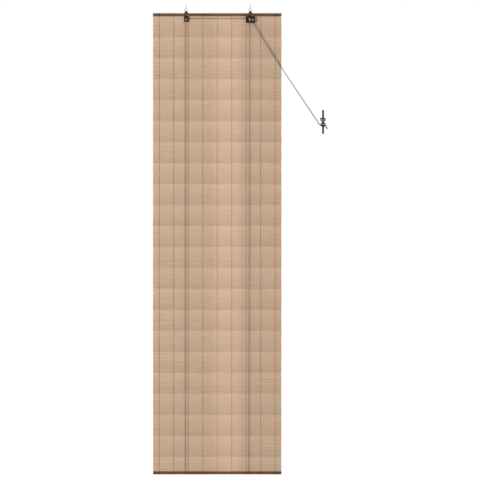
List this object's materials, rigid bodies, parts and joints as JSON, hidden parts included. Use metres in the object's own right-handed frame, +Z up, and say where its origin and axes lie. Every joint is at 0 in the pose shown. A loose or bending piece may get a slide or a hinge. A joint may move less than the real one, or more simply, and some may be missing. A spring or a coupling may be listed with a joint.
{
  "type": "roll-up blind",
  "caption": "Roll-up blind of woven bamboo slats hung from screw hooks, raised by lift cords over pulleys and a cord lock, with the cord ends wound on a wall cleat.",
  "frame": {"origin": "on the ceiling, midway between the shanks of the two screw hooks", "axes": "+Z up, +Y towards the wall or window behind the blind, +X to the right as seen from the room"},
  "size_m": [0.811, 0.0522, 2.1983],
  "materials": {
    "stained_wood": "stained satin",
    "bamboo_slats": "plain split bamboo",
    "zinc_steel": "zinc plated",
    "black_steel": "dark paint",
    "white_nylon": "moulded",
    "roller_brass": "toothed",
    "braided_cord": "braided",
    "warp_yarn": "twisted yarn",
    "black_plastic": "moulded"
  },
  "bodies": {
    "hanging_blind": {"head_rail": "stained_wood", "slat_mat": "bamboo_slats", "screw_hooks": "zinc_steel", "left_hanger_plate": "black_steel", "right_hanger_plate": "black_steel", "hanger_screws": "zinc_steel", "left_front_cheek": "black_steel", "right_front_cheek": "black_steel", "left_axle_rivet": "zinc_steel", "guide_axle_rivet": "zinc_steel", "left_rear_cord": "braided_cord", "right_rear_cord": "braided_cord", "left_front_cord": "braided_cord", "right_front_cord": "braided_cord", "left_pull_cord": "braided_cord", "right_pull_cord": "braided_cord", "cord_hank": "braided_cord", "cleat": "black_plastic", "cleat_screws": "zinc_steel", "warp_thread_1": "warp_yarn", "warp_thread_2": "warp_yarn", "warp_thread_3": "warp_yarn", "warp_thread_4": "warp_yarn", "warp_thread_5": "warp_yarn", "warp_thread_6": "warp_yarn", "warp_thread_7": "warp_yarn", "warp_thread_8": "warp_yarn", "warp_thread_9": "warp_yarn"},
    "bottom_rail": {"bottom_rail": "stained_wood"},
    "left_wheel": {"left_wheel": "white_nylon"},
    "guide_wheel": {"guide_wheel": "white_nylon"},
    "lock_pin": {"lock_pin": "zinc_steel"},
    "lock_roller": {"lock_roller": "roller_brass"}
  },
  "joints": [
    {"name": "raise", "type": "slide", "parent": "hanging_blind", "child": "bottom_rail", "axis": [0, 0, 1], "range_m": [0, 1.95], "deforming": ["slat_mat", "warp_thread_1", "warp_thread_2", "warp_thread_3", "warp_thread_4", "warp_thread_5", "warp_thread_6", "warp_thread_7", "warp_thread_8", "warp_thread_9", "left_front_cord", "right_front_cord", "left_rear_cord", "right_rear_cord"]},
    {"name": "left_wheel_turn", "type": "hinge", "parent": "hanging_blind", "child": "left_wheel", "pos_m": [-0.15, 0, -0.0528], "axis": [0, 1, 0], "continuous": true},
    {"name": "guide_wheel_turn", "type": "hinge", "parent": "hanging_blind", "child": "guide_wheel", "pos_m": [0.15, 0, -0.0528], "axis": [0, 1, 0], "continuous": true},
    {"name": "lock_release", "type": "slide", "parent": "hanging_blind", "child": "lock_pin", "axis": [0.8192, 0, 0.5736], "range_m": [0, 0.003]},
    {"name": "lock_roller_turn", "type": "hinge", "parent": "lock_pin", "child": "lock_roller", "pos_m": [0.1621, 0, -0.0546], "axis": [0, 1, 0], "continuous": true}
  ],
  "couplings": [
    {"joint": "left_wheel_turn", "follows": "raise", "rad_per_m": 400},
    {"joint": "guide_wheel_turn", "follows": "raise", "rad_per_m": 400}
  ]
}
